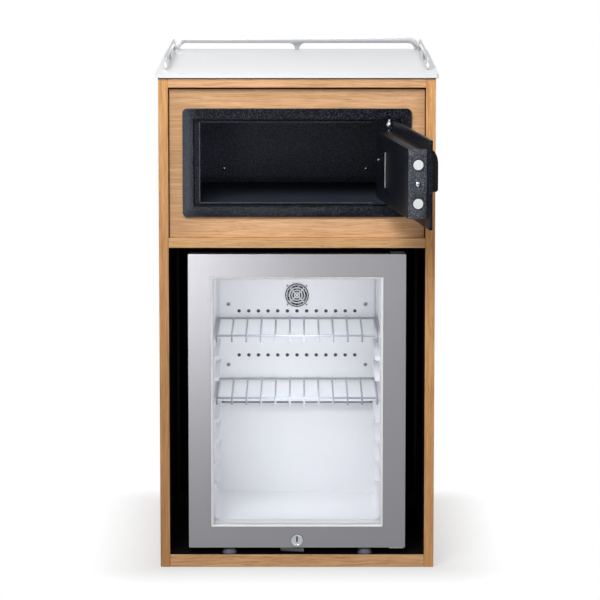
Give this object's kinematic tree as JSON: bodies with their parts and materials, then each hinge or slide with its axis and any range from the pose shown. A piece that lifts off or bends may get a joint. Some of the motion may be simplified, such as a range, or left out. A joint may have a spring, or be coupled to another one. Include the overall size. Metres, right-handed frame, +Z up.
{
  "type": "hotel minibar cabinet",
  "caption": "Oak hotel cabinet with a railed white top, a recessed electronic safe with its door open, and a glass-door minibar refrigerator below",
  "frame": {"origin": "on the floor, at the middle of the case footprint", "axes": "+X to the right as seen from the front, +Y to the back, +Z up"},
  "size_m": [0.518, 0.8995, 0.946],
  "materials": {
    "oak": "light oak laminate",
    "hardboard": "plain hardboard",
    "white_top": "white laminate",
    "bright_steel": "bright plated steel",
    "brushed_steel": "brushed stainless steel",
    "safe_black": "black hammered powder coat",
    "black_plastic": "black moulded plastic",
    "key_grey": "grey silicone",
    "motor_black": "black enamel",
    "brass": "machined",
    "fridge_black": "black coated skin on foam",
    "white_plastic": "white moulded plastic",
    "grille_grey": "pale grey moulded plastic",
    "shelf_white": "white coated wire",
    "fin_aluminium": "bare fins",
    "condenser_black": "black coated tube",
    "glass": "clear float glass",
    "seal": "pale grey soft seal"
  },
  "bodies": {
    "cabinet": {"side_panel_left": "oak", "side_panel_right": "oak", "top_board": "oak", "divider_board": "oak", "bottom_board": "oak", "safe_fascia": "oak", "safe_platform": "oak", "back_panel": "hardboard", "counter_top": "white_top", "gallery_back": "bright_steel", "gallery_left": "bright_steel", "gallery_right": "bright_steel", "safe_hinge_pin_top": "bright_steel", "safe_hinge_pin_bottom": "bright_steel", "lock_catch": "bright_steel", "door_hinge_top": "brushed_steel", "door_hinge_bottom": "brushed_steel", "safe_body": "safe_black", "fan_housing": "black_plastic", "fridge_foot_front_left": "black_plastic", "fridge_foot_front_right": "black_plastic", "fridge_foot_rear_left": "black_plastic", "fridge_foot_rear_right": "black_plastic", "compressor": "motor_black", "fridge_shell": "fridge_black", "fridge_liner": "white_plastic", "evaporator_cover": "white_plastic", "fan_grille": "grille_grey", "shelf_upper": "shelf_white", "shelf_lower": "shelf_white", "evaporator_coil": "fin_aluminium", "condenser_coil": "condenser_black"},
    "safe_door": {"safe_door_plate": "safe_black", "safe_lock_cover": "safe_black", "keypad_bezel": "black_plastic", "lock_motor": "motor_black", "battery_pack": "black_plastic"},
    "safe_bolts": {"bolt_bar": "brushed_steel", "bolt_upper": "bright_steel", "bolt_lower": "bright_steel"},
    "pinion": {"lock_pinion": "brass"},
    "fridge_door": {"door_frame": "brushed_steel", "door_glass": "glass", "door_inner_frame": "white_plastic", "door_gasket": "seal"},
    "fridge_lock": {"door_lock_cylinder": "bright_steel", "door_lock_cam": "brushed_steel"},
    "fan": {"fan_rotor": "black_plastic"},
    "key_0": {"key_0": "key_grey"},
    "key_1": {"key_1": "key_grey"},
    "key_2": {"key_2": "key_grey"},
    "key_3": {"key_3": "key_grey"},
    "key_4": {"key_4": "key_grey"},
    "key_5": {"key_5": "key_grey"},
    "key_6": {"key_6": "key_grey"},
    "key_7": {"key_7": "key_grey"},
    "key_8": {"key_8": "key_grey"},
    "key_9": {"key_9": "key_grey"},
    "key_clear": {"key_clear": "key_grey"},
    "key_enter": {"key_enter": "key_grey"}
  },
  "joints": [
    {"name": "safe_door_hinge", "type": "hinge", "parent": "cabinet", "child": "safe_door", "pos_m": [0.17, -0.266, 0.757], "axis": [0, 0, 1], "range_deg": [-99, 6]},
    {"name": "bolt_slide", "type": "slide", "parent": "safe_door", "child": "safe_bolts", "axis": [0.1564, -0.9877, 0], "range_m": [0, 0.018]},
    {"name": "pinion_spin", "type": "hinge", "parent": "safe_door", "child": "pinion", "pos_m": [0.20022, -0.51433, 0.757], "axis": [0.9877, 0.1564, 0], "range_deg": [0, 115]},
    {"name": "fridge_door_hinge", "type": "hinge", "parent": "cabinet", "child": "fridge_door", "pos_m": [0.187, -0.258, 0.312], "axis": [0, 0, 1], "range_deg": [0, 120]},
    {"name": "fridge_lock_turn", "type": "hinge", "parent": "fridge_door", "child": "fridge_lock", "pos_m": [0, -0.258, 0.05], "axis": [0, 1, 0], "range_deg": [0, 90]},
    {"name": "fan_spin", "type": "hinge", "parent": "cabinet", "child": "fan", "pos_m": [0, 0, 0.47], "axis": [0, 1, 0], "continuous": true},
    {"name": "key_0_press", "type": "slide", "parent": "safe_door", "child": "key_0", "axis": [-0.9877, -0.1564, 0], "range_m": [0, 0.0012], "stiffness_N_per_m": 800},
    {"name": "key_1_press", "type": "slide", "parent": "safe_door", "child": "key_1", "axis": [-0.9877, -0.1564, 0], "range_m": [0, 0.0012], "stiffness_N_per_m": 800},
    {"name": "key_2_press", "type": "slide", "parent": "safe_door", "child": "key_2", "axis": [-0.9877, -0.1564, 0], "range_m": [0, 0.0012], "stiffness_N_per_m": 800},
    {"name": "key_3_press", "type": "slide", "parent": "safe_door", "child": "key_3", "axis": [-0.9877, -0.1564, 0], "range_m": [0, 0.0012], "stiffness_N_per_m": 800},
    {"name": "key_4_press", "type": "slide", "parent": "safe_door", "child": "key_4", "axis": [-0.9877, -0.1564, 0], "range_m": [0, 0.0012], "stiffness_N_per_m": 800},
    {"name": "key_5_press", "type": "slide", "parent": "safe_door", "child": "key_5", "axis": [-0.9877, -0.1564, 0], "range_m": [0, 0.0012], "stiffness_N_per_m": 800},
    {"name": "key_6_press", "type": "slide", "parent": "safe_door", "child": "key_6", "axis": [-0.9877, -0.1564, 0], "range_m": [0, 0.0012], "stiffness_N_per_m": 800},
    {"name": "key_7_press", "type": "slide", "parent": "safe_door", "child": "key_7", "axis": [-0.9877, -0.1564, 0], "range_m": [0, 0.0012], "stiffness_N_per_m": 800},
    {"name": "key_8_press", "type": "slide", "parent": "safe_door", "child": "key_8", "axis": [-0.9877, -0.1564, 0], "range_m": [0, 0.0012], "stiffness_N_per_m": 800},
    {"name": "key_9_press", "type": "slide", "parent": "safe_door", "child": "key_9", "axis": [-0.9877, -0.1564, 0], "range_m": [0, 0.0012], "stiffness_N_per_m": 800},
    {"name": "key_clear_press", "type": "slide", "parent": "safe_door", "child": "key_clear", "axis": [-0.9877, -0.1564, 0], "range_m": [0, 0.0012], "stiffness_N_per_m": 800},
    {"name": "key_enter_press", "type": "slide", "parent": "safe_door", "child": "key_enter", "axis": [-0.9877, -0.1564, 0], "range_m": [0, 0.0012], "stiffness_N_per_m": 800}
  ],
  "couplings": [
    {"joint": "pinion_spin", "follows": "bolt_slide", "rad_per_m": 111.11}
  ]
}
